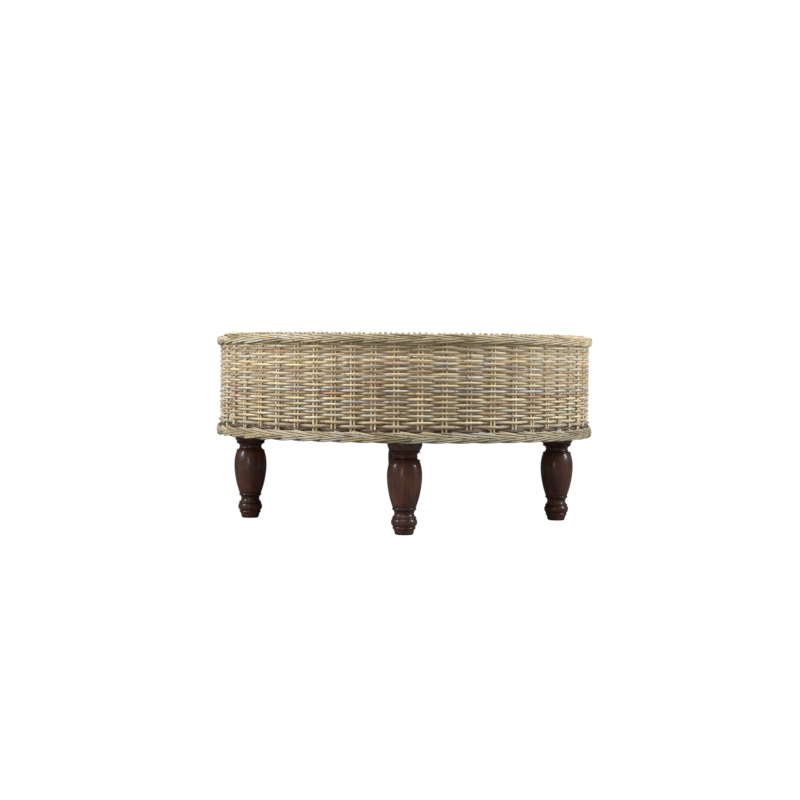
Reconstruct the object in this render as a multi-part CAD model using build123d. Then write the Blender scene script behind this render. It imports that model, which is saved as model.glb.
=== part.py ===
"""Round wicker pet bed: a woven basket on four turned legs, with a loose box cushion.

Millimetres, +Z up. The origin is on the floor under the basket's centre, and -Y is the front.
"""
import math
import os

from build123d import *

# ---- driving dimensions -------------------------------------------------------------------------
OVERALL_R = 380.0  # outside of the two plaited borders
BODY_BOTTOM_Z = 173.5  # underside of the basket, which is the length of a leg
PLAIT_TOP_Z = 374.0
LEG_CIRCLE_R = 314.0
LEG_MAX_R = 33.0

ROD_R = 2.1  # rattan rods of the uprights and the weavers
STAKE_PAIRS = 52
STAKE_PHASE_DEG = -2.4  # the pair nearest the front centre stands this far to one side
STAKE_SWING_DEG = 3.8  # how far the pairs that crowd together on the left have moved
STAKE_CROWD_DEG = -38.4  # the middle of those pairs, from the front
STAKE_SLIP_DEG = 1.3  # how far a few pairs on the right lean back towards the front
STAKE_SLIP_AT_DEG = 18.0  # the middle of those few, from the front
STAKE_PAIR_GAP = 7.0  # between the centres of the two rods of a pair

FIT = 0.3  # clearance between pieces that only lie against each other
BOLT_FIT = 0.05
CUSHION_R = 346.0
CUSHION_EDGE_H = 84.0
CUSHION_CROWN = 14.0

# ---- sizes worked out from them -----------------------------------------------------------------
PLAIT_T = 8.0  # two layers of rods
PLAIT_IN_R = OVERALL_R - PLAIT_T
STAKE_R = PLAIT_IN_R - FIT - ROD_R - 0.1  # radius of the circle that the uprights stand on
WALL_OUT_R = STAKE_R + 3 * ROD_R
WALL_IN_R = STAKE_R - 3 * ROD_R
LOWER_PLAIT_H = 18.5
UPPER_PLAIT_H = 18.3
WALL_BOTTOM_Z = BODY_BOTTOM_Z + LOWER_PLAIT_H + FIT
WALL_TOP_Z = PLAIT_TOP_Z - UPPER_PLAIT_H - FIT
FOOT_ROWS_H = 22.0  # the three thicker rows just above the lower plait

RAIL_W = 60.0
RAIL_T = 17.0
RAIL_TOP_Z = BODY_BOTTOM_Z + RAIL_T
PANEL_T = 9.0
PANEL_R = WALL_IN_R - 2.2
PANEL_TOP_Z = RAIL_TOP_Z + PANEL_T

BASE_HOOP_R = 6.8  # half the thickness of the bent pole
BASE_HOOP_CIRCLE_R = STAKE_R - ROD_R - FIT - BASE_HOOP_R
BASE_HOOP_Z = RAIL_TOP_Z - FIT - BASE_HOOP_R
RIM_HOOP_R = 5.0
RIM_HOOP_CIRCLE_R = STAKE_R - ROD_R - FIT - RIM_HOOP_R
RIM_HOOP_Z = PLAIT_TOP_Z - 6.6
BINDING_T = 3.4
STAKE_BOTTOM_Z = BODY_BOTTOM_Z + 3.0
STAKE_TOP_Z = PLAIT_TOP_Z - 4.0

BOLT_R = 4.0
BOLT_TOP_Z = RAIL_TOP_Z - 1.0
BOLT_BOTTOM_Z = BODY_BOTTOM_Z - 40.0
TEE_FLANGE_R = 11.0
TEE_FLANGE_T = 1.6
TEE_BARREL_R = 5.2
TEE_BARREL_L = 11.0
SCREW_HEAD_R = 4.0
SCREW_SHANK_R = 1.9
SCREW_HEAD_H = 2.4
PANEL_SCREW_L = 22.0
HOOP_SCREW_L = 45.0
PANEL_SCREW_AT = (120.0, 240.0)  # along each half of each rail

CLOTH_T = 1.5
PIPING_R = 3.5
CUSHION_BOTTOM_Z = PANEL_TOP_Z + FIT
ZIP_T = 0.8
ZIP_H = 14.0
ZIP_START_DEG = 60.0
ZIP_SWEEP_DEG = 60.0
SLIDER_W = 9.0
SLIDER_H = 12.0
SLIDER_T = 2.6


def ring(inner_r, outer_r, bottom_z, top_z, bevel=0.0):
    """A flat-walled ring about the Z axis, with its edges bevelled."""
    height = top_z - bottom_z
    body = Cylinder(outer_r, height) - Cylinder(inner_r, height)
    if bevel:
        body = chamfer(body.edges().filter_by(GeomType.CIRCLE), bevel)
    return Pos(0, 0, (bottom_z + top_z) / 2) * body


def quarter_turns(shape):
    """The shape and its three copies, each a quarter turn further about the Z axis."""
    return [Rot(0, 0, 90 * i) * shape for i in range(4)]


def station_deg(i):
    """The direction of a pair of uprights from the axis. They are set by hand, not evenly."""
    even = STAKE_PHASE_DEG + 360 * i / STAKE_PAIRS
    away = math.radians(even - STAKE_CROWD_DEG)
    swing = STAKE_SWING_DEG * ((1 + math.cos(away)) / 2) ** 2
    past = math.radians(even - STAKE_SLIP_AT_DEG)
    slip = STAKE_SLIP_DEG * ((1 + math.cos(past)) / 2) ** 60
    return even - 90 + swing * (1 + math.cos(5 * away)) / 2 - slip


def stake_places():
    """The foot of every upright: two rods side by side at each station round the wall."""
    half_angle = math.degrees(STAKE_PAIR_GAP / 2 / STAKE_R)
    for i in range(STAKE_PAIRS):
        for side in (-1, 1):
            angle = math.radians(station_deg(i) + side * half_angle)
            yield STAKE_R * math.cos(angle), STAKE_R * math.sin(angle)


def stakes():
    """A straight round upright at every stake place."""
    rod = Cylinder(ROD_R, STAKE_TOP_Z - STAKE_BOTTOM_Z)
    middle_z = (STAKE_BOTTOM_Z + STAKE_TOP_Z) / 2
    return [Pos(x, y, middle_z) * rod for x, y in stake_places()]


def woven_band(bottom_z, top_z):
    """The weavers' outer and inner faces, with the uprights standing between the two."""
    clear = ROD_R + FIT
    outer = ring(STAKE_R + clear, WALL_OUT_R, bottom_z, top_z)
    inner = ring(WALL_IN_R, STAKE_R - clear, bottom_z, top_z)
    return [outer, inner]


def hoop(circle_r, rod_r, z):
    """A round pole bent into a ring about the Z axis."""
    section = Plane.XZ * Pos(circle_r, z) * Rot(0, 0, 90) * Circle(rod_r)
    return Rot(0, 0, 45) * revolve(section, axis=Axis.Z)


def turned_leg():
    """A vase-turned leg: foot, bead, cove, vase, cove and collar, with the bolt's pilot hole."""
    top = BODY_BOTTOM_Z
    with BuildPart() as leg:
        with BuildSketch(Plane.XZ):
            with BuildLine():
                Line((0, 0), (15.8, 0.0))
                Line((15.8, 0.0), (17.4, 1.6))
                Line((17.4, 1.6), (19.5, 9.8))
                ThreePointArc((19.5, 9.8), (21.7, 12.4), (20.9, 14.8))
                Line((20.9, 14.8), (21.2, 15.6))
                ThreePointArc((21.2, 15.6), (24.6, 23.0), (21.9, 30.3))
                ThreePointArc((21.9, 30.3), (22.9, 31.8), (21.7, 33.3))
                ThreePointArc((21.7, 33.3), (18.6, 38.8), (20.9, 45.6))
                ThreePointArc((20.9, 45.6), (22.7, 47.9), (21.8, 50.2))
                Spline(
                    (21.8, 50.2),
                    (26.4, 64.5),
                    (30.9, 85.0),
                    (LEG_MAX_R, 110.3),
                    (30.9, 128.6),
                    (28.3, 136.9),
                    tangents=((0.32, 1.0), (-0.42, 1.0)),
                )
                ThreePointArc((28.3, 136.9), (28.9, 138.5), (27.1, 139.9))
                ThreePointArc((27.1, 139.9), (22.6, 147.6), (26.9, 152.4))
                ThreePointArc((26.9, 152.4), (28.8, 154.4), (27.8, 156.4))
                Line((27.8, 156.4), (28.5, 157.0))
                ThreePointArc((28.5, 157.0), (31.4, 162.2), (32.9, 168.6))
                Line((32.9, 168.6), (32.9, top))
                Line((32.9, top), (0, top))
                Line((0, top), (0, 0))
            make_face()
        revolve(axis=Axis.Z)
    depth = top - BOLT_BOTTOM_Z + 2
    hole = Pos(0, 0, top - depth / 2) * Cylinder(BOLT_R + BOLT_FIT, depth)
    return leg.part - hole


def hanger_bolt():
    """Wood screw below the leg's top, machine thread above it, both as plain shanks."""
    tip_h = 8.0
    shank_h = BOLT_TOP_Z - BOLT_BOTTOM_Z - tip_h
    shank = Pos(0, 0, BOLT_TOP_Z - shank_h / 2) * Cylinder(BOLT_R, shank_h)
    tip = Pos(0, 0, BOLT_BOTTOM_Z + tip_h / 2) * Cone(1.0, BOLT_R, tip_h)
    return shank + tip


def tee_nut():
    """Flange flush with the rail's top, barrel down inside it."""
    flange = Pos(0, 0, RAIL_TOP_Z - TEE_FLANGE_T / 2) * Cylinder(TEE_FLANGE_R, TEE_FLANGE_T)
    barrel_top = RAIL_TOP_Z - TEE_FLANGE_T
    barrel = Pos(0, 0, barrel_top - TEE_BARREL_L / 2) * Cylinder(TEE_BARREL_R, TEE_BARREL_L)
    bore = Pos(0, 0, RAIL_TOP_Z) * Cylinder(BOLT_R + BOLT_FIT, 4 * TEE_BARREL_L)
    return flange + barrel - bore


def countersunk_screw(length, grow=0.0):
    """Head's face at the origin, pointing down. With grow, the hole that takes it."""
    head = Pos(0, 0, -SCREW_HEAD_H / 2) * Cone(
        SCREW_SHANK_R + grow, SCREW_HEAD_R + grow, SCREW_HEAD_H
    )
    shank_h = length - SCREW_HEAD_H + grow
    shank = Pos(0, 0, -SCREW_HEAD_H - shank_h / 2) * Cylinder(SCREW_SHANK_R + grow, shank_h)
    return head + shank


def panel_screws(grow=0.0):
    """Eight screws down through the floor panel, two in each arm of the crossed rails."""
    screw = countersunk_screw(PANEL_SCREW_L, grow)
    return [
        turned
        for reach in PANEL_SCREW_AT
        for turned in quarter_turns(Pos(reach, 0, PANEL_TOP_Z) * screw)
    ]


def hoop_screws(grow=0.0):
    """Four screws in through the base hoop, one into the end of each arm."""
    head_r = BASE_HOOP_CIRCLE_R + BASE_HOOP_R - 1.2
    screw = Pos(head_r, 0, BASE_HOOP_Z) * Rot(0, 90, 0) * countersunk_screw(HOOP_SCREW_L, grow)
    return quarter_turns(screw)


def rail(lap_above):
    """One of the two crossed rails, along X, halved where they cross."""
    end_r = BASE_HOOP_CIRCLE_R - BASE_HOOP_R - FIT
    middle_z = BODY_BOTTOM_Z + RAIL_T / 2
    body = Pos(0, 0, middle_z) * Box(2 * end_r, RAIL_W, RAIL_T)
    body = body & (Pos(0, 0, middle_z) * Cylinder(end_r, RAIL_T))
    lap_z = BODY_BOTTOM_Z + RAIL_T * (0.75 if lap_above else 0.25)
    lap = Box(RAIL_W + FIT, RAIL_W + FIT, RAIL_T / 2 + 0.01)
    body -= Pos(0, 0, lap_z) * lap
    flange = Cylinder(TEE_FLANGE_R + BOLT_FIT, 2 * (TEE_FLANGE_T + BOLT_FIT))
    barrel_h = TEE_FLANGE_T + TEE_BARREL_L + BOLT_FIT
    barrel = Cylinder(TEE_BARREL_R + BOLT_FIT, 2 * barrel_h)
    through = Cylinder(BOLT_R + 0.5, 4 * RAIL_T)
    for side in (-1, 1):
        for hole in (flange, barrel, through):
            body -= Pos(side * LEG_CIRCLE_R, 0, RAIL_TOP_Z) * hole
    return body


def rim_binding():
    """The rods bent over the rim hoop, as one C-shaped sleeve round its inner side and top."""
    inner = RIM_HOOP_R + 0.2
    outer = inner + BINDING_T
    start, middle, end = (math.radians(a) for a in (48.0, 150.0, 250.0))

    def at(radius, angle):
        return (
            RIM_HOOP_CIRCLE_R + radius * math.cos(angle),
            RIM_HOOP_Z + radius * math.sin(angle),
        )

    with BuildPart() as sleeve:
        with BuildSketch(Plane.XZ):
            with BuildLine():
                ThreePointArc(at(outer, start), at(outer, middle), at(outer, end))
                Line(at(outer, end), at(inner, end))
                ThreePointArc(at(inner, end), at(inner, middle), at(inner, start))
                Line(at(inner, start), at(outer, start))
            make_face()
        revolve(axis=Axis.Z)
    return sleeve.part


def crowned(radius, bottom_z, top_edge_z):
    """A round slab, flat below, whose top rises from its edge by the cushion's crown."""
    top = top_edge_z + CUSHION_CROWN
    with BuildPart() as slab:
        with BuildSketch(Plane.XZ):
            with BuildLine():
                Line((0, bottom_z), (radius, bottom_z))
                Line((radius, bottom_z), (radius, top_edge_z))
                Spline(
                    (radius, top_edge_z),
                    (0, top),
                    tangents=((-1.0, 2 * CUSHION_CROWN / radius), (-1.0, 0.0)),
                )
                Line((0, top), (0, bottom_z))
            make_face()
        revolve(axis=Axis.Z)
    return slab.part


def top_panel(top_edge_z):
    """The cushion's upper cloth: an even sheet over the crown."""
    slab = crowned(CUSHION_R, top_edge_z - 20, top_edge_z)
    return slab - Pos(0, 0, -CLOTH_T) * crowned(CUSHION_R, top_edge_z - 21, top_edge_z)


def arc_plate(inner_r, outer_r, bottom_z, top_z, sweep_deg):
    """A curved plate about the Z axis, from +X round through sweep_deg."""
    thickness = outer_r - inner_r
    height = top_z - bottom_z
    section = Plane.XZ * Pos(inner_r + thickness / 2, bottom_z + height / 2)
    return revolve(section * Rectangle(thickness, height), Axis.Z, sweep_deg)


def legs():
    """Four legs, named by where they stand."""
    leg = Pos(0, -LEG_CIRCLE_R, 0) * turned_leg()
    names = ("leg_front", "leg_right", "leg_back", "leg_left")
    return dict(zip(names, quarter_turns(leg)))


def base_frame():
    """The crossed rails, the base hoop, the floor panel and what fastens them to the legs."""
    panel_holes = panel_screws(grow=BOLT_FIT)
    hoop_holes = hoop_screws(grow=BOLT_FIT)
    holes = panel_holes + hoop_holes
    across = rail(lap_above=True) - holes
    along = Rot(0, 0, 90) * rail(lap_above=False) - holes
    pole = hoop(BASE_HOOP_CIRCLE_R, BASE_HOOP_R, BASE_HOOP_Z)
    panel_z = (RAIL_TOP_Z + PANEL_TOP_Z) / 2
    panel = Pos(0, 0, panel_z) * Cylinder(PANEL_R, PANEL_T)
    return {
        "rail_side_to_side": across,
        "rail_front_to_back": along,
        "base_hoop": pole - hoop_holes,
        "floor_panel": panel - panel_holes,
        "hanger_bolts": quarter_turns(Pos(0, LEG_CIRCLE_R, 0) * hanger_bolt()),
        "tee_nuts": quarter_turns(Pos(0, LEG_CIRCLE_R, 0) * tee_nut()),
        "panel_screws": panel_screws(),
        "hoop_screws": hoop_screws(),
    }


def wicker():
    """The uprights, the two woven bands threaded on them, the rim hoop and the plaits."""
    split_z = WALL_BOTTOM_Z + FOOT_ROWS_H
    bevel = 2.4
    return {
        "stakes": stakes(),
        "foot_weave": woven_band(WALL_BOTTOM_Z, split_z),
        "side_weave": woven_band(split_z + FIT, WALL_TOP_Z),
        "lower_plait": ring(
            PLAIT_IN_R, OVERALL_R, BODY_BOTTOM_Z, BODY_BOTTOM_Z + LOWER_PLAIT_H, bevel
        ),
        "upper_plait": ring(
            PLAIT_IN_R, OVERALL_R, PLAIT_TOP_Z - UPPER_PLAIT_H, PLAIT_TOP_Z, bevel
        ),
        "rim_hoop": hoop(RIM_HOOP_CIRCLE_R, RIM_HOOP_R, RIM_HOOP_Z),
        "rim_binding": rim_binding(),
    }


def cushion():
    """A box cushion: two panels, a side band with a zip, piping on both seams, and foam."""
    low = CUSHION_BOTTOM_Z
    top_edge = low + CUSHION_EDGE_H
    seam = CLOTH_T + FIT
    lower_piping_z = low + seam + PIPING_R
    upper_piping_z = top_edge - seam - PIPING_R
    band_gap = PIPING_R + FIT
    piping_circle_r = CUSHION_R - PIPING_R + 1.5
    foam_r = piping_circle_r - PIPING_R - FIT
    zip_z = (low + top_edge) / 2
    zip_in = CUSHION_R + 0.2
    zip_out = zip_in + ZIP_T
    slider_in = zip_out + 0.2
    zip_low = zip_z - ZIP_H / 2
    slider_low = zip_z - SLIDER_H / 2
    tape = arc_plate(zip_in, zip_out, zip_low, zip_low + ZIP_H, ZIP_SWEEP_DEG)
    slider_sweep = math.degrees(SLIDER_W / slider_in)
    slider = arc_plate(
        slider_in, slider_in + SLIDER_T, slider_low, slider_low + SLIDER_H, slider_sweep
    )
    return {
        "cushion_top_panel": top_panel(top_edge),
        "cushion_bottom_panel": Pos(0, 0, low + CLOTH_T / 2) * Cylinder(CUSHION_R, CLOTH_T),
        "cushion_side_band": ring(
            CUSHION_R - CLOTH_T, CUSHION_R, lower_piping_z + band_gap, upper_piping_z - band_gap
        ),
        "cushion_filling": crowned(foam_r, low + seam, top_edge - seam),
        "cushion_piping_lower": hoop(piping_circle_r, PIPING_R, lower_piping_z),
        "cushion_piping_upper": hoop(piping_circle_r, PIPING_R, upper_piping_z),
        "zip_tape": Rot(0, 0, ZIP_START_DEG) * tape,
        "zip_slider": Rot(0, 0, ZIP_START_DEG + 1.0) * slider,
    }


def main():
    os.makedirs("parts", exist_ok=True)
    nodes = {**legs(), **base_frame(), **wicker(), **cushion()}
    for name, shape in nodes.items():
        solids = shape if isinstance(shape, list) else shape.solids()
        solids = [solid for item in solids for solid in item.solids()]
        export_step(Compound(children=solids), f"parts/{name}.step")


main()
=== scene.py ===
"""Round wicker pet bed on four turned legs, with a loose cushion. Metres, +Z up, -Y the front."""

import math

import bpy
import numpy as np
from mathutils import Matrix, Vector


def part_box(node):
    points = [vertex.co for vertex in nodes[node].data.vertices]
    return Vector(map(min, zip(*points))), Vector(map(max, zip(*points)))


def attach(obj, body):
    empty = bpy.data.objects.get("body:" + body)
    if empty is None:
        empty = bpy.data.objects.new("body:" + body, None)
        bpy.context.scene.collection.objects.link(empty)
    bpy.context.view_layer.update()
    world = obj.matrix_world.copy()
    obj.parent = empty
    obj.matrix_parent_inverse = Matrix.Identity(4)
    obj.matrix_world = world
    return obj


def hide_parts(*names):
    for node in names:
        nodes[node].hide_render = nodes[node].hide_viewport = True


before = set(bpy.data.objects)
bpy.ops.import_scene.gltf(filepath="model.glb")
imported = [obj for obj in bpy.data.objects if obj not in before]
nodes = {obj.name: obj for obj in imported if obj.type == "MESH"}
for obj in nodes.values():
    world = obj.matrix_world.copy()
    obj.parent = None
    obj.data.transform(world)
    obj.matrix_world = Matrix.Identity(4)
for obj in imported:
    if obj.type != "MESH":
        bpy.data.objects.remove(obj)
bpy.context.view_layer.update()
rng = np.random.default_rng(20260)

# ---- sizes, in millimetres, worked out from the CAD's -------------------------------------------
MM = 0.001


def heights(node):
    """The lowest and the highest point of a CAD node, in millimetres."""
    return [round(corner[2] / MM, 1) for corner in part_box(node)]


def middle(node):
    """The height of a CAD node's middle, in millimetres."""
    return sum(heights(node)) / 2


OVERALL_R = round(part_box("upper_plait")[1][0] / MM, 1)

STAKE_PAIRS = 52
STAKE_PHASE_DEG = -2.4  # the pair nearest the front centre stands this far to one side
STAKE_SWING_DEG = 3.8  # how far the pairs that crowd together on the left have moved
STAKE_CROWD_DEG = -38.4  # the middle of those pairs, from the front
STAKE_SLIP_DEG = 1.3  # how far a few pairs on the right lean back towards the front
STAKE_SLIP_AT_DEG = 18.0  # the middle of those few, from the front
STAKE_R = OVERALL_R - 10.5  # of the circle that the uprights stand on
STAKE_ROD = 2.1
STAKE_LOW = heights("stakes")[0] + 0.5
STAKE_HIGH = heights("stakes")[1] - 0.5
PAIR_GAP = 7.0  # between the middles of the two rods of a pair

WEAVER_ROD = 2.25
FOOT_Z = heights("foot_weave")[0]
FOOT_ROWS = ((2.1, 2.9), (10.0, 3.1), (17.7, 2.6))  # height over FOOT_Z and radius of each row
SIDE_Z = heights("side_weave")[0] + 2.8
SIDE_PITCH = 5.08
SIDE_ROWS = 28
LOW_BAND_ROWS = 14  # the side rows that make the lower of the two pieces
STEPS = 10  # points along a weaver from one pair of uprights to the next

PLAIT_R = OVERALL_R - 3.4  # the middle of a border's thickness
LOWER_PLAIT = (heights("lower_plait")[0] - 1.1, heights("lower_plait")[1] + 0.6)
UPPER_PLAIT = (heights("upper_plait")[0] - 0.3, heights("upper_plait")[1] - 0.4)

HOOP_R = STAKE_R - 7.4
HOOP_Z = middle("rim_hoop")
HOOP_REACH = 5.2  # from the hoop's middle to the rods bent over it
RIM_RODS = 4  # bent over the hoop for each pair of uprights

CUSHION_R = 343.5  # at its seams
CUSHION_LOW = heights("cushion_bottom_panel")[0] + 0.6
CUSHION_TOP = heights("cushion_top_panel")[1] - 1.3
SEAM_LOW = middle("cushion_piping_lower")
SEAM_HIGH = middle("cushion_piping_upper")
CROWN_R = 338.0  # where the crowned top starts, inside the upper seam
CROWN_LOW = 283.0
CROWN_HIGH = CUSHION_TOP - 4  # before the cover is blown up
PIPING_ROD = 3.3

ZIP_R = 346.0  # of the tape's outer face
ZIP_Z = middle("zip_tape")
ZIP_ARC = (63.2, 119.0)  # in degrees, from +X
ZIP_PITCH = 1.5  # from one turn of the coil to the next


def linear(r, g, b):
    """A colour given as 0 to 255 in sRGB, as linear light."""
    c = np.array([r, g, b]) / 255
    return np.where(c <= 0.04045, c / 12.92, ((c + 0.055) / 1.055) ** 2.4)


# ---- tubes --------------------------------------------------------------------------------------
class Rods:
    """Many round rods gathered into one mesh.

    Each point keeps its rod's tone and, as the attribute rod, how far along and across the rod it
    lies, in metres, and the rod's seed.
    """

    def __init__(self, name):
        self.name = name
        self.points, self.faces, self.tones, self.marks = [], [], [], []
        self.count = 0

    def add(self, path, up, radius, tone, seed, closed=False, sides=8):
        """Sweep a rod along path. up is a direction across it, for each point."""
        path = np.asarray(path, float)
        n = len(path)
        if closed:
            ahead, behind = np.roll(path, -1, 0), np.roll(path, 1, 0)
        else:
            ahead = np.vstack([path[1:], path[-1:]])
            behind = np.vstack([path[:1], path[:-1]])
        along = ahead - behind
        along /= np.linalg.norm(along, axis=1)[:, None]
        across = np.cross(along, up)
        across /= np.linalg.norm(across, axis=1)[:, None]
        rise = np.cross(across, along)
        turn = np.arange(sides) * 2 * math.pi / sides
        radius = np.broadcast_to(radius, n)[:, None, None]
        cos, sin = np.cos(turn)[None, :, None], np.sin(turn)[None, :, None]
        skin = path[:, None] + radius * (cos * across[:, None] + sin * rise[:, None])
        gone = np.concatenate([[0], np.cumsum(np.linalg.norm(np.diff(path, axis=0), axis=1))])
        mark = np.empty((n, sides, 3))
        mark[..., 0] = gone[:, None] * MM
        mark[..., 1] = (radius * sin)[..., 0] * MM
        mark[..., 2] = seed
        tone = np.broadcast_to(tone, (n, 3))[:, None].repeat(sides, 1)
        self.points.append(skin.reshape(-1, 3))
        self.marks.append(mark.reshape(-1, 3))
        self.tones.append(tone.reshape(-1, 3))
        a = np.arange(n if closed else n - 1)[:, None] * sides
        b = (a + sides) % (n * sides)
        j = np.arange(sides)[None, :]
        k = (j + 1) % sides
        quads = np.stack([a + j, b + j, b + k, a + k], -1).reshape(-1, 4) + self.count
        self.faces.extend(quads.tolist())
        if not closed:
            last = self.count + (n - 1) * sides
            self.faces.append([self.count + i for i in range(sides)])
            self.faces.append([last + i for i in reversed(range(sides))])
        self.count += n * sides

    def build(self, material, body="basket"):
        """The finished piece, riding on its body."""
        mesh = bpy.data.meshes.new(self.name)
        mesh.from_pydata((np.vstack(self.points) * MM).tolist(), [], self.faces)
        tone = mesh.attributes.new("tone", "FLOAT_COLOR", "POINT")
        rgba = np.hstack([np.vstack(self.tones), np.ones((self.count, 1))])
        tone.data.foreach_set("color", rgba.astype(np.float32).ravel())
        rod = mesh.attributes.new("rod", "FLOAT_VECTOR", "POINT")
        rod.data.foreach_set("vector", np.vstack(self.marks).astype(np.float32).ravel())
        mesh.polygons.foreach_set("use_smooth", np.ones(len(mesh.polygons), bool))
        mesh.materials.append(material)
        piece = bpy.data.objects.new(self.name, mesh)
        bpy.context.scene.collection.objects.link(piece)
        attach(piece, body)
        return piece


# ---- material helpers ---------------------------------------------------------------------------
def new_material(name):
    """A material with its node tree, its Principled shader and a function that adds nodes."""
    material = bpy.data.materials.new(name)
    material.use_nodes = True
    tree = material.node_tree
    shader = tree.nodes["Principled BSDF"]

    def add(kind, **settings):
        node = tree.nodes.new(kind)
        for key, value in settings.items():
            if key.startswith("in_"):
                node.inputs[int(key[3:])].default_value = value
            else:
                setattr(node, key, value)
        return node

    return material, tree.links.new, shader, add


def math_node(add, link, operation, a, b=None, c=None, clamp=False):
    """A Math node of two or three sockets or numbers, and its output."""
    node = add("ShaderNodeMath", operation=operation, use_clamp=clamp)
    for i, value in enumerate((a, b, c)):
        if value is None:
            continue
        if isinstance(value, (int, float)):
            node.inputs[i].default_value = value
        else:
            link(value, node.inputs[i])
    return node.outputs[0]


def mix_colour(add, link, blend, factor, a, b):
    """A colour Mix node of sockets or plain values, and its output."""
    node = add("ShaderNodeMix", data_type="RGBA", blend_type=blend)
    for i, value in ((0, factor), (6, a), (7, b)):
        if hasattr(value, "is_output"):
            link(value, node.inputs[i])
        elif i == 0:
            node.inputs[i].default_value = value
        else:
            node.inputs[i].default_value = (*value, 1.0)
    return node.outputs[2]


def ramp(add, link, factor, stops):
    """A colour ramp over factor. stops are (place, grey or colour)."""
    node = add("ShaderNodeValToRGB")
    link(factor, node.inputs[0])
    band = node.color_ramp
    while len(band.elements) < len(stops):
        band.elements.new(0.5)
    for element, (place, value) in zip(band.elements, stops):
        element.position = place
        value = (value,) * 3 if isinstance(value, (int, float)) else value
        element.color = (*value, 1.0)
    return node.outputs[0]


def rattan(name, rough=0.5, bump=0.25, reach=0.005, painted_shade_below=0.46):
    """Natural rattan rod: grain along it, knots, speckles and patches over each rod's own tone.

    Painted shade darkens its colour where other rods stand within reach of it, as found by an
    ambient occlusion node; there is less of it the lower the last argument is.
    """
    material, link, shader, add = new_material(name)
    tone = add("ShaderNodeAttribute", attribute_name="tone").outputs["Color"]
    rod = add("ShaderNodeAttribute", attribute_name="rod").outputs["Vector"]
    parts = add("ShaderNodeSeparateXYZ")
    link(rod, parts.inputs[0])
    along, across, seed = parts.outputs

    def noise(scale_along, scale_across, detail, offset=0.0):
        vector = add("ShaderNodeCombineXYZ")
        link(math_node(add, link, "MULTIPLY", along, scale_along), vector.inputs[0])
        link(math_node(add, link, "MULTIPLY", across, scale_across), vector.inputs[1])
        link(math_node(add, link, "MULTIPLY_ADD", seed, 7.31, offset), vector.inputs[2])
        node = add("ShaderNodeTexNoise", in_2=1.0, in_3=detail)
        link(vector.outputs[0], node.inputs[0])
        return node.outputs[0]

    grain = noise(55.0, 1500.0, 3.0)
    patch = noise(14.0, 120.0, 2.0, 40.0)
    spot = noise(420.0, 900.0, 2.0, 80.0)
    spotty = noise(5.0, 0.0, 1.0, 120.0)
    colour = mix_colour(
        add, link, "MULTIPLY", 1.0, tone, ramp(add, link, grain, ((0.3, 0.86), (0.62, 1.07)))
    )
    warm = ramp(add, link, patch, ((0.36, (1.06, 0.95, 0.82)), (0.62, (0.98, 1.0, 1.04))))
    colour = mix_colour(add, link, "MULTIPLY", 0.8, colour, warm)
    many = ramp(add, link, spotty, ((0.56, 0.0), (0.66, 1.0)))
    spots = ramp(add, link, spot, ((0.56, 0.0), (0.66, 1.0)))
    spots = math_node(add, link, "MULTIPLY", spots, many)
    colour = mix_colour(add, link, "MIX", spots, colour, linear(134, 84, 44))
    knots = add("ShaderNodeTexVoronoi", voronoi_dimensions="1D", feature="F1")
    knots.inputs["Scale"].default_value = 1.0
    place = math_node(add, link, "MULTIPLY_ADD", seed, 13.7, 3.0)
    link(math_node(add, link, "MULTIPLY_ADD", along, 5.5, place), knots.inputs["W"])
    ring = ramp(add, link, knots.outputs[0], ((0.006, 1.0), (0.016, 0.0)))
    colour = mix_colour(add, link, "MIX", math_node(add, link, "MULTIPLY", ring, 0.6), colour,
                        linear(88, 62, 40))
    # Painted shade: where the ambient occlusion node finds other rods close by, the colour is
    # darkened towards a dark brown.
    nook = add("ShaderNodeAmbientOcclusion", samples=6, in_1=reach)
    painted_shade = ramp(add, link, nook.outputs["AO"], (
        (0.0, (0.14, 0.1, 0.065)), (painted_shade_below / 2, (0.5, 0.43, 0.34)), (painted_shade_below, (1.0, 1.0, 1.0)),
    ))
    colour = mix_colour(add, link, "MULTIPLY", 1.0, colour, painted_shade)
    link(colour, shader.inputs["Base Color"])
    link(math_node(add, link, "MULTIPLY_ADD", grain, 0.3, rough - 0.15), shader.inputs["Roughness"])
    shader.inputs["Specular IOR Level"].default_value = 0.4
    shader.inputs["Sheen Weight"].default_value = 0.12
    shader.inputs["Sheen Roughness"].default_value = 0.4
    height = math_node(add, link, "ADD", grain, math_node(add, link, "MULTIPLY", ring, 0.8))
    relief = add("ShaderNodeBump", in_0=bump, in_1=0.0005)
    link(height, relief.inputs["Height"])
    link(relief.outputs[0], shader.inputs["Normal"])
    return material


# ---- tones of the rods --------------------------------------------------------------------------
WALL_TONES = [
    (linear(198, 180, 142), 5),  # straw
    (linear(184, 164, 126), 5),  # tan
    (linear(168, 152, 120), 3),  # olive
    (linear(190, 184, 168), 3),  # weathered grey
    (linear(210, 196, 158), 3),  # pale yellow
    (linear(162, 134, 100), 3),  # brown
    (linear(154, 142, 122), 2),  # dull grey
]
FLUSH = linear(172, 114, 80)  # the red-brown of a few short stretches
FOOT_TONES = [  # of each foot row, from the bottom
    # The bottom row's dark browns are partly its own tone and partly painted shade, where it lies
    # recessed behind the lower border.
    [(linear(72, 56, 40), 3), (linear(88, 70, 52), 2)],
    [(linear(158, 144, 120), 3), (linear(144, 124, 98), 2), (linear(176, 168, 150), 1)],
    [(linear(202, 186, 150), 3), (linear(184, 164, 128), 2)],
]
STAKE_TONES = [(linear(226, 210, 174), 3), (linear(212, 192, 152), 3), (linear(196, 182, 154), 1)]
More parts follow.
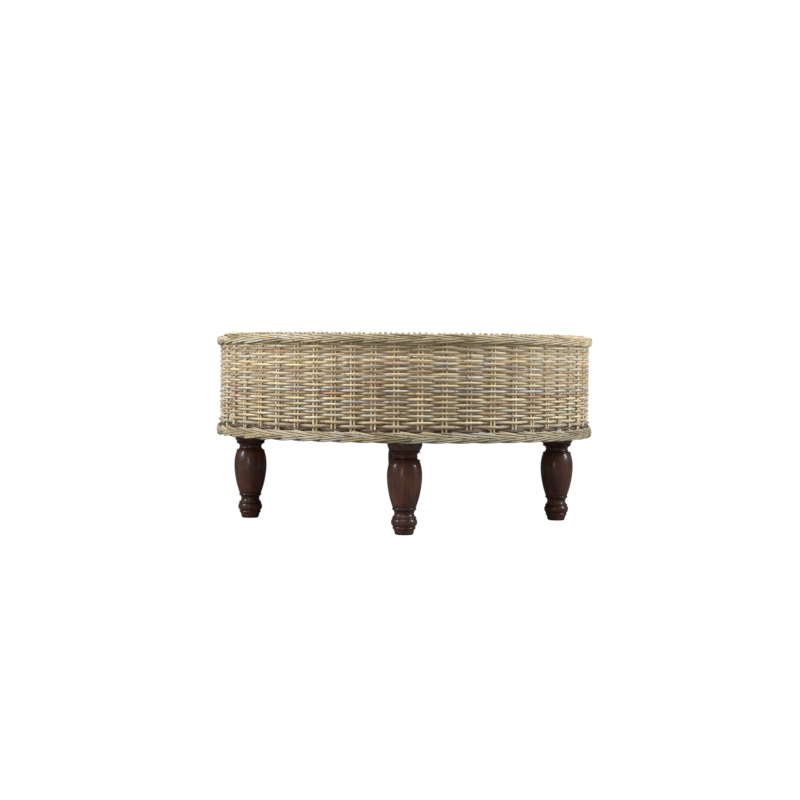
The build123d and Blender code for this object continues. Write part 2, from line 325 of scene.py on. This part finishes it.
PLAIT_TONES = [
    (linear(184, 168, 132), 4),
    (linear(172, 157, 123), 4),
    (linear(190, 181, 156), 3),
    (linear(148, 131, 97), 1.5),
]


def pick(tones):
    """One of the tones, by weight, a little lighter or darker."""
    weights = np.array([w for _, w in tones], float)
    i = rng.choice(len(tones), p=weights / weights.sum())
    return tones[i][0] * rng.uniform(0.9, 1.1)


# ---- the wall -----------------------------------------------------------------------------------
def station(u):
    """The direction, in radians, of place u round the wall. The uprights stand at whole numbers."""
    even = np.radians(STAKE_PHASE_DEG + 360 * u / STAKE_PAIRS)
    away = even - np.radians(STAKE_CROWD_DEG)
    swing = np.radians(STAKE_SWING_DEG) * ((1 + np.cos(away)) / 2) ** 2
    lean = even - np.radians(STAKE_SLIP_AT_DEG)
    slip = np.radians(STAKE_SLIP_DEG) * ((1 + np.cos(lean)) / 2) ** 60
    return even - math.pi / 2 + swing * (1 + np.cos(5 * away)) / 2 - slip


def waver(u, waves, size):
    """A smooth irregular swing round the wall that meets itself."""
    turn = u / STAKE_PAIRS * 2 * math.pi
    total = np.zeros_like(u)
    for k in waves:
        total += rng.normal() * np.cos(k * turn + rng.uniform(0, 2 * math.pi))
    return size * total / math.sqrt(len(waves))


def weaver(rods, row, z, radius, tones, unruly=1.0, flush=1.0):
    """One closed row of rods laid end to end, over one pair of uprights and behind the next.

    The row is tilted, and lies half a pitch higher at the back than at the front.
    unruly is how unevenly it lies, and flush how red its red stretches are.
    """
    start = STAKE_PAIRS / 2 + row % 7
    u = start + np.arange(STAKE_PAIRS * STEPS) / STEPS
    angle = station(u)
    side = np.cos(math.pi * (u + row))
    swing = STAKE_ROD + radius
    r = STAKE_R + swing * side * (1.12 - 0.12 * side * side) + waver(u, range(20, 40), 0.12)
    rise = waver(u, range(2, 9), 0.26) + waver(u, range(12, 50), 0.14)
    height = z + unruly * rise + SIDE_PITCH / 4 * (1 + np.sin(angle))
    # A join lies off the row's points, which stand every tenth, so that every point is in one rod.
    joins = np.sort(rng.choice(STAKE_PAIRS, rng.integers(3, 6), replace=False)) + 0.45
    tone = np.empty((len(u), 3))
    thick = np.empty(len(u))
    where = (u - start) % STAKE_PAIRS
    fade = np.clip(0.5 + waver(u, range(5, 50), 0.55), 0, 1)[:, None]
    for low, high in zip(joins, [*joins[1:], joins[0] + STAKE_PAIRS]):
        inside = ((where - low) % STAKE_PAIRS) < (high - low)
        tone[inside] = (pick(tones) * fade + pick(tones) * (1 - fade))[inside]
        thick[inside] = rng.uniform(0.92, 1.06)
        thick[((where - low) % STAKE_PAIRS) < 0.15] = 0.6  # the rod's thin first end
    thick = thick + waver(u, range(30, 120, 3), 0.02)
    for place in rng.uniform(0, STAKE_PAIRS, rng.integers(0, 3)):
        strength = flush * rng.uniform(0.2, 0.75)
        off = (where - place + 2) % STAKE_PAIRS - 2  # past the stretch's middle, from -2 on
        red = strength * np.exp(-((off / 1.1) ** 2))[:, None]
        tone = tone * (1 - red) + FLUSH * red
    path = np.stack([r * np.cos(angle), r * np.sin(angle), height], 1)
    up = np.tile([0.0, 0.0, 1.0], (len(u), 1))
    rods.add(path, up, radius * thick, tone, rng.uniform(0, 50), closed=True)


def uprights(material):
    """The paired stakes, each a little bent by the weavers that pass it."""
    rods = Rods("uprights")
    z = np.linspace(STAKE_LOW, STAKE_HIGH, 40)
    for i in range(STAKE_PAIRS):
        centre = station(np.array(float(i)))
        for side in (-1, 1):
            half = side * PAIR_GAP / 2 / STAKE_R
            sway = rng.normal(0, 0.25) * np.sin(z / 60 + rng.uniform(0, 6))
            angle = centre + half + sway / STAKE_R
            r = STAKE_R + 0.15 * np.sin(z / 8 + rng.uniform(0, 6))
            path = np.stack([r * np.cos(angle), r * np.sin(angle), z], 1)
            up = np.stack([np.cos(angle), np.sin(angle), 0 * z], 1)
            tone = pick(STAKE_TONES)
            rods.add(path, up, STAKE_ROD, tone, rng.uniform(0, 50))
    piece = rods.build(material)
    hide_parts("stakes")


class Plait:
    """A flat border of five strands, each of two rods side by side, that turn at both edges."""

    TURNS = 10  # of each strand, round the whole basket
    STRANDS = 5
    DEPTH = 3.4  # how far a strand lies outside or inside the middle of the plait
    BULGE = 1.8  # how much further in the edges lie

    def __init__(self, low, high, rod, dip, shade, pale):
        """low and high are its edges, rod a rod's radius, and dip its sag at the basket's left.

        Its tones are multiplied by shade; the lower border's smaller shade is painted shade. The
        two parts of its last argument are painted light, added towards the basket's right and left
        ends;
        a part below zero is painted shade.
        """
        self.rod = rod
        self.shade = shade
        self.pale_right, self.painted_light_left = pale
        self.dip = dip
        self.pitch = rod * 1.9  # between the two rods of a strand
        self.middle = (low + high) / 2
        self.half = (high - low) / 2
        self.swing = self.half - self.pitch / 2 - rod

    def course(self, u, strand, off, proud=0.0):
        """A rod's path at places u, off above its strand's middle, and proud further out."""
        turn = 2 * math.pi * (u * self.TURNS / STAKE_PAIRS + strand / self.STRANDS)
        z = self.middle + self.swing * (np.cos(turn) + 0.07 * np.cos(3 * turn)) / 1.07 + off
        depth = self.DEPTH * np.tanh(2.4 * np.sin(2 * turn)) + proud
        r = PLAIT_R + depth - self.BULGE * ((z - self.middle) / self.half) ** 2
        angle = station(u)
        z = z + waver(u, range(6, 40), 0.08) - self.dip * ((1 - np.cos(angle)) / 2) ** 8
        return np.stack([r * np.cos(angle), r * np.sin(angle), z], 1)

    def strands(self, rods):
        """Every strand's rods, each closed on itself."""
        u = np.arange(STAKE_PAIRS * STEPS) / STEPS + STAKE_PAIRS / 2
        across = np.cos(station(u))[:, None]
        # Painted light: the tones get lighter towards the basket's right and left ends, and darker
        # where a part is below zero.
        pale = 1 + self.pale_right * ((1 + across) / 2) ** 6
        pale += self.painted_light_left * ((1 - across) / 2) ** 6
        up = np.tile([0.0, 0.0, 1.0], (len(u), 1))
        for strand in range(self.STRANDS):
            cuts = np.sort(rng.choice(len(u), 14, replace=False))
            tone = np.empty((len(u), 3))
            for a, b in zip([0, *cuts], [*cuts, len(u)]):
                tone[a:b] = pick(PLAIT_TONES) * self.shade
            for off in (-self.pitch / 2, self.pitch / 2):
                path = self.course(u, strand, off)
                shade = tone * pale * rng.uniform(0.95, 1.05)
                rods.add(path, up, self.rod, shade, rng.uniform(0, 50), closed=True)

    def cut_ends(self, rods):
        """The ends of the uprights, tucked along the strands and cut off at the upper edge."""
        for i in range(self.TURNS * self.STRANDS):
            strand = i % self.STRANDS
            place = i // self.STRANDS - strand / self.STRANDS
            s = np.linspace(0, 1, 9)
            u = place * STAKE_PAIRS / self.TURNS + 0.2 + rng.normal(0, 0.07) + 0.8 * s
            path = self.course(u, strand, self.pitch * (1.15 - 0.5 * s), 0.2 - 3.4 * s * s)
            up = np.tile([0.0, 0.0, 1.0], (len(s), 1))
            tone = pick(PLAIT_TONES) * self.shade * 1.1
            rods.add(path, up, self.rod * 0.85, tone, rng.uniform(0, 50))


def plait(name, node, edges, rod, material, ends=False, dip=0.0, shade=1.0, pale=(0.0, 0.0)):
    """One plaited border, with or without cut ends along its upper edge."""
    rods = Rods(name)
    border = Plait(*edges, rod, dip, shade, pale)
    border.strands(rods)
    if ends:
        border.cut_ends(rods)
    piece = rods.build(material)
    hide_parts(node)


def rim_rods(material):
    """The rods' ends bent over the rim hoop."""
    rods = Rods("rim_rods")
    turn = np.radians(np.linspace(40, 262, 18))  # round the hoop, from its outer side
    for i in range(STAKE_PAIRS * RIM_RODS):
        angle = station(np.array(i / RIM_RODS + rng.normal(0, 0.02)))
        rod = rng.uniform(1.8, 2.35)
        ring = HOOP_REACH + rod
        lean = rng.normal(0, 0.4) * (turn - turn.mean())
        r = HOOP_R + ring * np.cos(turn)
        z = HOOP_Z + ring * np.sin(turn)
        a = angle + lean / HOOP_R
        path = np.stack([r * np.cos(a), r * np.sin(a), z], 1)
        sideways = np.array([-math.sin(angle), math.cos(angle), 0.0])
        tone = pick(PLAIT_TONES)
        rods.add(path, np.tile(sideways, (len(turn), 1)), rod, tone, rng.uniform(0, 50), sides=7)
    piece = rods.build(material)
    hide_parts("rim_binding")


def wall(material):
    """The rows of the wall, as the thick rows at its foot and two bands of thin rows."""
    foot = Rods("foot_rows")
    for row, (z, radius) in enumerate(FOOT_ROWS):
        weaver(foot, row + 1, FOOT_Z + z, radius, FOOT_TONES[row], unruly=2.0, flush=0.0)
    piece = foot.build(material)
    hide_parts("foot_weave")
    for name, rows in (("side_rows_low", range(LOW_BAND_ROWS)),
                       ("side_rows_high", range(LOW_BAND_ROWS, SIDE_ROWS))):
        band = Rods(name)
        for row in rows:
            z = SIDE_Z + row * SIDE_PITCH
            weaver(band, row + len(FOOT_ROWS) + 1, z, WEAVER_ROD, WALL_TONES)
        piece = band.build(material)
        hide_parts("side_weave")


# ---- wood, metal and cloth ----------------------------------------------------------------------
def mahogany():
    """Dark stained turned wood under gloss lacquer, with the glaze darker in its grooves."""
    material, link, shader, add = new_material("mahogany")
    where = add("ShaderNodeTexCoord").outputs["Object"]
    stretch = add("ShaderNodeMapping")
    stretch.inputs["Scale"].default_value = (1.0, 1.0, 0.12)
    link(where, stretch.inputs[0])
    figure = add("ShaderNodeTexNoise", in_2=90.0, in_3=6.0)
    figure.inputs["Distortion"].default_value = 0.6
    link(stretch.outputs[0], figure.inputs[0])
    pores = add("ShaderNodeTexNoise", in_2=900.0, in_3=2.0)
    link(stretch.outputs[0], pores.inputs[0])
    cloud = add("ShaderNodeTexNoise", in_2=22.0, in_3=2.0)
    link(where, cloud.inputs[0])
    base = ramp(add, link, figure.outputs[0],
                ((0.3, (0.041, 0.0155, 0.009)), (0.68, (0.089, 0.0335, 0.0178))))
    shade = ramp(add, link, pores.outputs[0], ((0.35, 0.6), (0.5, 1.0)))
    base = mix_colour(add, link, "MULTIPLY", 0.4, base, shade)
    tint = ramp(add, link, cloud.outputs[0], ((0.35, (0.75, 0.78, 0.85)), (0.65, (1.3, 1.1, 1.0))))
    base = mix_colour(add, link, "MULTIPLY", 0.8, base, tint)
    height = add("ShaderNodeSeparateXYZ")
    link(where, height.inputs[0])
    z = math_node(add, link, "MULTIPLY", height.outputs[2], 5.0)  # 0 to 1 up the first 200 mm
    grooves = ramp(add, link, z, (
        (0.0, 0.75), (0.055, 1.0), (0.0755, 0.45), (0.095, 1.0), (0.148, 0.45), (0.175, 0.8),
        (0.22, 0.6), (0.247, 0.45), (0.28, 1.0), (0.66, 1.0), (0.684, 0.5), (0.71, 0.75),
        (0.75, 0.8), (0.781, 0.45), (0.81, 1.0),
    ))
    base = mix_colour(add, link, "MULTIPLY", 1.0, base, grooves)
    link(base, shader.inputs["Base Color"])
    shader.inputs["Roughness"].default_value = 0.42
    shader.inputs["Specular IOR Level"].default_value = 0.16
    shader.inputs["Coat Weight"].default_value = 0.22
    shader.inputs["Coat Roughness"].default_value = 0.14
    relief = add("ShaderNodeBump", in_0=0.06, in_1=0.0004)
    link(figure.outputs[0], relief.inputs["Height"])
    link(relief.outputs[0], shader.inputs["Normal"])
    return material


def timber(name, dark, light, scale=(1.0, 1.0, 1.0), figure=40.0, rough=0.6):
    """Bare wood with its grain drawn out along the axis whose scale is small."""
    material, link, shader, add = new_material(name)
    where = add("ShaderNodeTexCoord").outputs["Object"]
    stretch = add("ShaderNodeMapping")
    stretch.inputs["Scale"].default_value = scale
    link(where, stretch.inputs[0])
    grain = add("ShaderNodeTexNoise", in_2=figure, in_3=7.0)
    grain.inputs["Distortion"].default_value = 1.2
    link(stretch.outputs[0], grain.inputs[0])
    fine = add("ShaderNodeTexNoise", in_2=figure * 12, in_3=2.0)
    link(stretch.outputs[0], fine.inputs[0])
    base = ramp(add, link, grain.outputs[0], ((0.35, dark), (0.65, light)))
    shade = ramp(add, link, fine.outputs[0], ((0.35, 0.8), (0.6, 1.08)))
    link(mix_colour(add, link, "MULTIPLY", 0.8, base, shade), shader.inputs["Base Color"])
    shader.inputs["Roughness"].default_value = rough
    relief = add("ShaderNodeBump", in_0=0.15, in_1=0.0005)
    link(fine.outputs[0], relief.inputs["Height"])
    link(relief.outputs[0], shader.inputs["Normal"])
    return material


def metal(name, colour, rough):
    """Plated steel or brass with a fine uneven sheen."""
    material, link, shader, add = new_material(name)
    where = add("ShaderNodeTexCoord").outputs["Object"]
    cloud = add("ShaderNodeTexNoise", in_2=300.0, in_3=4.0)
    link(where, cloud.inputs[0])
    shade = ramp(add, link, cloud.outputs[0], ((0.3, 0.8), (0.7, 1.1)))
    link(mix_colour(add, link, "MULTIPLY", 1.0, colour, shade), shader.inputs["Base Color"])
    shader.inputs["Metallic"].default_value = 1.0
    link(math_node(add, link, "MULTIPLY_ADD", cloud.outputs[0], 0.3, rough - 0.15),
         shader.inputs["Roughness"])
    return material


def canvas(name, light, dark, threads=700.0):
    """Plain woven cotton: crossed threads, slubs and a soft fuzzy sheen.

    The threads run straight across the flat faces, and along and up the round side.
    """
    material, link, shader, add = new_material(name)
    place = add("ShaderNodeTexCoord")
    where = place.outputs["Object"]
    spot = add("ShaderNodeSeparateXYZ")
    link(where, spot.inputs[0])
    x, y, z = spot.outputs
    facing = add("ShaderNodeSeparateXYZ")
    link(place.outputs["Normal"], facing.inputs[0])
    flat = math_node(add, link, "ABSOLUTE", facing.outputs[2])
    side = math_node(add, link, "LESS_THAN", flat, 0.6)
    direction = math_node(add, link, "ARCTAN2", y, x)
    cloth = add("ShaderNodeMix", data_type="VECTOR")
    link(side, cloth.inputs[0])
    link(where, cloth.inputs[4])
    band = add("ShaderNodeCombineXYZ")
    link(math_node(add, link, "MULTIPLY", direction, CUSHION_R * MM), band.inputs[0])
    link(z, band.inputs[1])
    link(band.outputs[0], cloth.inputs[5])

    def thread(scale):
        stretch = add("ShaderNodeMapping")
        stretch.inputs["Scale"].default_value = scale
        link(cloth.outputs[1], stretch.inputs[0])
        node = add("ShaderNodeTexNoise", in_2=threads, in_3=1.0)
        link(stretch.outputs[0], node.inputs[0])
        return node.outputs[0]

    warp = thread((0.05, 1.0, 1.0))
    weft = thread((1.0, 0.05, 1.0))
    weave = math_node(add, link, "MAXIMUM", warp, weft)
    cloud = add("ShaderNodeTexNoise", in_2=9.0, in_3=3.0)
    link(where, cloud.inputs[0])
    base = ramp(add, link, weave, ((0.45, dark), (0.68, light)))
    shade = ramp(add, link, cloud.outputs[0], ((0.3, 0.9), (0.7, 1.05)))
    link(mix_colour(add, link, "MULTIPLY", 1.0, base, shade), shader.inputs["Base Color"])
    shader.inputs["Roughness"].default_value = 0.92
    shader.inputs["Specular IOR Level"].default_value = 0.15
    shader.inputs["Sheen Weight"].default_value = 0.25
    relief = add("ShaderNodeBump", in_0=0.35, in_1=0.0004)
    link(weave, relief.inputs["Height"])
    link(relief.outputs[0], shader.inputs["Normal"])
    return material


def foam():
    """Open cell foam: pale yellow with fine pores."""
    material, link, shader, add = new_material("foam")
    where = add("ShaderNodeTexCoord").outputs["Object"]
    cells = add("ShaderNodeTexVoronoi", in_2=500.0)
    link(where, cells.inputs[0])
    base = ramp(add, link, cells.outputs[0],
                ((0.1, linear(206, 190, 140)), (0.7, linear(238, 226, 186))))
    link(base, shader.inputs["Base Color"])
    shader.inputs["Roughness"].default_value = 1.0
    relief = add("ShaderNodeBump", in_0=0.5, in_1=0.0006)
    link(cells.outputs[0], relief.inputs["Height"])
    link(relief.outputs[0], shader.inputs["Normal"])
    return material


# ---- the cushion --------------------------------------------------------------------------------
def lathe(profile, around):
    """Points and faces of a closed round form. Its profile starts and ends on the axis."""
    turn = np.arange(around) * 2 * math.pi / around
    inner = np.array(profile[1:-1])
    rings = []
    for r, z in inner:
        rings.append(np.stack([r * np.cos(turn), r * np.sin(turn), np.full(around, z)], 1))
    points = np.vstack([*rings, [[0, 0, profile[0][1]]], [[0, 0, profile[-1][1]]]])
    low, high = len(points) - 2, len(points) - 1
    faces = []
    for j in range(around):
        k = (j + 1) % around
        faces.append([low, k, j])
        for i in range(len(inner) - 1):
            a = i * around
            faces.append([a + j, a + k, a + around + k, a + around + j])
        last = (len(inner) - 1) * around
        faces.append([last + j, last + k, high])
    return points, faces


def swell(piece, pinned, most):
    """Blow the cover up with cloth pressure, and return its points and their moves.

    No move is longer than most. All of them are in millimetres.
    """
    steps = 20
    scene = bpy.context.scene
    group = piece.vertex_groups.new(name="pin")
    group.add([int(i) for i in np.flatnonzero(pinned)], 1.0, "REPLACE")
    count = len(piece.data.vertices)
    before = np.empty(count * 3)
    piece.data.vertices.foreach_get("co", before)
    cloth = piece.modifiers.new("cloth", "CLOTH")
    cloth.settings.use_pressure = True
    cloth.settings.uniform_pressure_force = 4.0
    cloth.settings.effector_weights.gravity = 0.0
    cloth.settings.vertex_group_mass = "pin"
    cloth.settings.shrink_min = -0.012  # the cloth grows a little
    cloth.point_cache.frame_start = 1
    cloth.point_cache.frame_end = steps
    for step in range(1, steps + 1):
        scene.frame_set(step)
    shown = piece.evaluated_get(bpy.context.evaluated_depsgraph_get())
    after = np.empty(count * 3)
    shown.data.vertices.foreach_get("co", after)
    piece.modifiers.remove(cloth)
    scene.frame_set(1)
    move = (after - before).reshape(-1, 3)
    far = np.linalg.norm(move, axis=1)[:, None]
    move *= np.minimum(1.0, most * MM / np.maximum(far, 1e-9))
    return before.reshape(-1, 3) / MM, move / MM


def cover_profile():
    """The slack cover's outline, from the middle of its underside to the middle of its crown."""
    profile = [(r, CUSHION_LOW) for r in (0, 110, 220, 330)]
    profile += [(339, CUSHION_LOW + 1.5), (CUSHION_R, SEAM_LOW)]
    profile += [(344.4, 220), (344.8, 242), (344.4, 264)]  # the side, a little fuller midway
    profile += [(CUSHION_R, SEAM_HIGH), (CROWN_R, CROWN_LOW)]
    for r in (320, 280, 220, 150, 75, 0):
        profile.append((r, CROWN_LOW + (CROWN_HIGH - CROWN_LOW) * (1 - (r / CROWN_R) ** 2.2)))
    return profile


def remesh(piece, voxel):
    """Give the piece an even mesh of small squares, voxel millimetres across."""
    even = piece.modifiers.new("even", "REMESH")
    even.mode = "VOXEL"
    even.voxel_size = voxel * MM
    shown = piece.evaluated_get(bpy.context.evaluated_depsgraph_get())
    mesh = bpy.data.meshes.new_from_object(shown)
    piece.modifiers.remove(even)
    piece.data = mesh


def cushion_cover(material):
    """A crowned round cover, blown up by cloth simulation and puckered along its upper seam."""
    points, faces = lathe(cover_profile(), 144)
    mesh = bpy.data.meshes.new("cushion_cover")
    mesh.from_pydata((points * MM).tolist(), [], faces)
    piece = bpy.data.objects.new("cushion_cover", mesh)
    bpy.context.scene.collection.objects.link(piece)
    remesh(piece, 8.0)
    mesh = piece.data
    at = np.empty(len(mesh.vertices) * 3)
    mesh.vertices.foreach_get("co", at)
    at = at.reshape(-1, 3) / MM
    r = np.hypot(at[:, 0], at[:, 1])
    off_seam = np.minimum(abs(at[:, 2] - SEAM_LOW), abs(at[:, 2] - SEAM_HIGH))
    underside = at[:, 2] < CUSHION_LOW + 2
    at, move = swell(piece, (r > 334) & (off_seam < 5) | underside, 5.0)
    side = (at[:, 2] > SEAM_LOW) & (at[:, 2] < SEAM_HIGH)
    move[side] *= 0.2  # so that it stays clear of the wall
    at = at + move
    r = np.hypot(at[:, 0], at[:, 1])
    u = np.arctan2(at[:, 1], at[:, 0]) * STAKE_PAIRS / 2 / math.pi
    top = at[:, 2] > SEAM_HIGH
    pucker = waver(u, range(60, 150, 3), 0.75) * np.exp(-((CROWN_R - r) / 16) ** 2)
    at[top, 2] += pucker[top]
    settled = waver(u, range(2, 7), 1.0) * (r / 340) ** 2
    at[top, 2] += settled[top] * np.clip((CROWN_R - r[top]) / 60, 0, 1)
    at[:, 2] = np.maximum(at[:, 2], CUSHION_LOW - 0.3)
    mesh.vertices.foreach_set("co", (at * MM).ravel())
    mesh.polygons.foreach_set("use_smooth", np.ones(len(mesh.polygons), bool))
    mesh.materials.clear()
    mesh.materials.append(material)
    fine = piece.modifiers.new("fine", "SUBSURF")
    fine.levels = fine.render_levels = 1
    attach(piece, "cushion")
    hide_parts("cushion_top_panel", "cushion_bottom_panel", "cushion_side_band")


def seam_cords(material):
    """The piping round both seams, sewn over a cord."""
    u = np.arange(STAKE_PAIRS * 12) / 12
    turn = 2 * math.pi * u / STAKE_PAIRS + math.pi / 2
    for name, node, z in (("piping_low", "cushion_piping_lower", SEAM_LOW),
                          ("piping_high", "cushion_piping_upper", SEAM_HIGH)):
        cord = Rods(name)
        r = CUSHION_R + 1.2 + waver(u, range(3, 30), 0.25)
        path = np.stack([r * np.cos(turn), r * np.sin(turn), z + waver(u, range(3, 40), 0.3)], 1)
        thick = PIPING_ROD + waver(u, range(40, 160, 5), 0.06)
        up = np.tile([0.0, 0.0, 1.0], (len(u), 1))
        cord.add(path, up, thick, linear(150, 128, 98), 1.0, closed=True, sides=12)
        piece = cord.build(material, "cushion")
        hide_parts(node)


def zip_coil(material):
    """The zip's closed coil along the middle of its tape."""
    turn = np.radians(np.linspace(*ZIP_ARC, 2400))
    spin = (turn - turn[0]) * ZIP_R / ZIP_PITCH * 2 * math.pi
    r = ZIP_R + 1.7 + 0.65 * np.cos(spin)
    z = ZIP_Z + 2.1 * np.sin(spin)
    path = np.stack([r * np.cos(turn), r * np.sin(turn), z], 1)
    coil = Rods("zip_coil")
    up = np.stack([np.cos(turn), np.sin(turn), 0.3 + 0 * turn], 1)
    coil.add(path, up, 0.42, linear(150, 128, 98), 2.0, sides=5)
    piece = coil.build(material, "cushion")


def show(material, *names):
    """Give carried-over CAD nodes their material."""
    for name in names:
        piece = nodes[name]
        piece.data.materials.clear()
        piece.data.materials.append(material)


# ---- make the object ----------------------------------------------------------------------------
rod_material = rattan("rattan_rod")
plait_material = rattan("rattan_plait", rough=0.48, reach=0.01, painted_shade_below=0.72)
uprights(rattan("rattan_upright", reach=0.004, painted_shade_below=0.26))
wall(rod_material)
# The lower border's tones are scaled down more than the upper's as painted shade, and both borders
# get painted light towards the basket's ends.
plait("plait_lower", "lower_plait", LOWER_PLAIT, 2.2, plait_material,
      ends=True, shade=0.73, pale=(-0.06, 0.4))
plait("plait_upper", "upper_plait", UPPER_PLAIT, 2.1, plait_material,
      dip=2.5, shade=0.83, pale=(0.75, 0.35))
rim_rods(plait_material)
show(mahogany(), "leg_front", "leg_right", "leg_back", "leg_left")
pole = timber("rattan_pole", linear(140, 116, 80), linear(178, 154, 114), figure=60.0)
show(pole, "base_hoop", "rim_hoop")
pine = (linear(176, 132, 82), linear(214, 176, 122))
show(timber("rail_wood_x", *pine, scale=(0.08, 1, 1)), "rail_side_to_side")
show(timber("rail_wood_y", *pine, scale=(1, 0.08, 1)), "rail_front_to_back")
birch = (linear(196, 162, 116), linear(222, 194, 150))
show(timber("plywood", *birch, scale=(0.15, 1, 1), figure=14.0), "floor_panel")
cushion_cover(canvas("canvas", linear(212, 200, 174), linear(180, 165, 138)))
seam_cords(canvas("piping", linear(170, 150, 120), linear(126, 106, 78)))
tape = canvas("zip_cloth", linear(176, 160, 132), linear(140, 122, 94), 1400.0)
zip_coil(tape)
show(tape, "zip_tape")
show(metal("zip_metal", linear(190, 160, 104), 0.35), "zip_slider")
show(foam(), "cushion_filling")
zinc = metal("zinc_steel", (0.6, 0.6, 0.58), 0.4)
show(zinc, "hanger_bolts", "tee_nuts", "panel_screws", "hoop_screws")

# ---- floor, light and camera --------------------------------------------------------------------
scene = bpy.context.scene
scene.view_settings.view_transform = "Standard"
WHITE = 1.02  # the brightness of everything behind the object, as the camera sees it
AIM = Vector((0, 0, 0.2))  # what the lights face
COOL = (0.9, 0.98, 1.1)
WARM = (1.0, 0.95, 0.88)


def backdrop():
    """A white floor that looks evenly lit, and white all round it."""
    mesh = bpy.data.meshes.new("floor")
    corners = [(-20, -20, 0), (20, -20, 0), (20, 20, 0), (-20, 20, 0)]
    mesh.from_pydata(corners, [], [(0, 1, 2, 3)])
    floor = bpy.data.objects.new("floor", mesh)
    scene.collection.objects.link(floor)
    material, link, shader, add = new_material("floor_white")
    shader.inputs["Base Color"].default_value = (0.24, 0.24, 0.24, 1)
    shader.inputs["Roughness"].default_value = 1.0
    glow = add("ShaderNodeEmission", in_1=WHITE)
    seen = add("ShaderNodeLightPath").outputs["Is Camera Ray"]
    both = add("ShaderNodeMixShader")
    link(seen, both.inputs[0])
    link(shader.outputs[0], both.inputs[1])
    link(glow.outputs[0], both.inputs[2])
    link(both.outputs[0], material.node_tree.nodes["Material Output"].inputs[0])
    mesh.materials.append(material)
    world = bpy.data.worlds.new("world")
    scene.world = world
    world.use_nodes = True
    tree = world.node_tree
    plain = tree.nodes["Background"]
    plain.inputs[0].default_value = (1, 1, 1, 1)
    plain.inputs[1].default_value = 0.22
    bright = tree.nodes.new("ShaderNodeBackground")
    bright.inputs[0].default_value = (1, 1, 1, 1)
    bright.inputs[1].default_value = WHITE
    ray = tree.nodes.new("ShaderNodeLightPath")
    mix = tree.nodes.new("ShaderNodeMixShader")
    tree.links.new(ray.outputs["Is Camera Ray"], mix.inputs[0])
    tree.links.new(plain.outputs[0], mix.inputs[1])
    tree.links.new(bright.outputs[0], mix.inputs[2])
    tree.links.new(mix.outputs[0], tree.nodes["World Output"].inputs[0])


def softbox(name, azimuth, elevation, distance, width, height, watts, colour=(1, 1, 1)):
    """A rectangular light facing the basket. Azimuth is from the front, positive to the right."""
    light = bpy.data.lights.new(name, "AREA")
    light.shape = "RECTANGLE"
    light.size, light.size_y = width, height
    light.energy = watts
    light.color = colour
    lamp = bpy.data.objects.new(name, light)
    scene.collection.objects.link(lamp)
    a, e = math.radians(azimuth), math.radians(elevation)
    away = Vector((math.sin(a) * math.cos(e), -math.cos(a) * math.cos(e), math.sin(e)))
    lamp.location = AIM + away * distance
    lamp.rotation_euler = (-away).to_track_quat("-Z", "Y").to_euler()


backdrop()
softbox("left_box", -68, 25, 2.4, 0.5, 0.9, 47, COOL)
softbox("right_box", 74, 25, 2.4, 0.5, 0.9, 54, COOL)
softbox("front_strip", -17, 4, 3.2, 0.4, 1.2, 15, WARM)
softbox("top_box", -10, 60, 3.0, 2.0, 2.0, 58)


def camera():
    """A little under the rim's height, 3.4 m in front, tipped down and turned a touch."""
    place = Vector((-0.0208, -3.409, 0.3223))
    pitch, yaw, roll = math.radians(1.323), math.radians(-0.205), math.radians(0.52)
    lens = bpy.data.cameras.new("camera")
    lens.sensor_width = 36.0
    lens.lens = 74.85
    eye = bpy.data.objects.new("camera", lens)
    scene.collection.objects.link(eye)
    turn = Matrix.Rotation(yaw, 4, "Z") @ Matrix.Rotation(math.pi / 2 - pitch, 4, "X")
    turn = turn @ Matrix.Rotation(roll, 4, "Z")
    eye.matrix_world = Matrix.Translation(place) @ turn
    scene.camera = eye


camera()
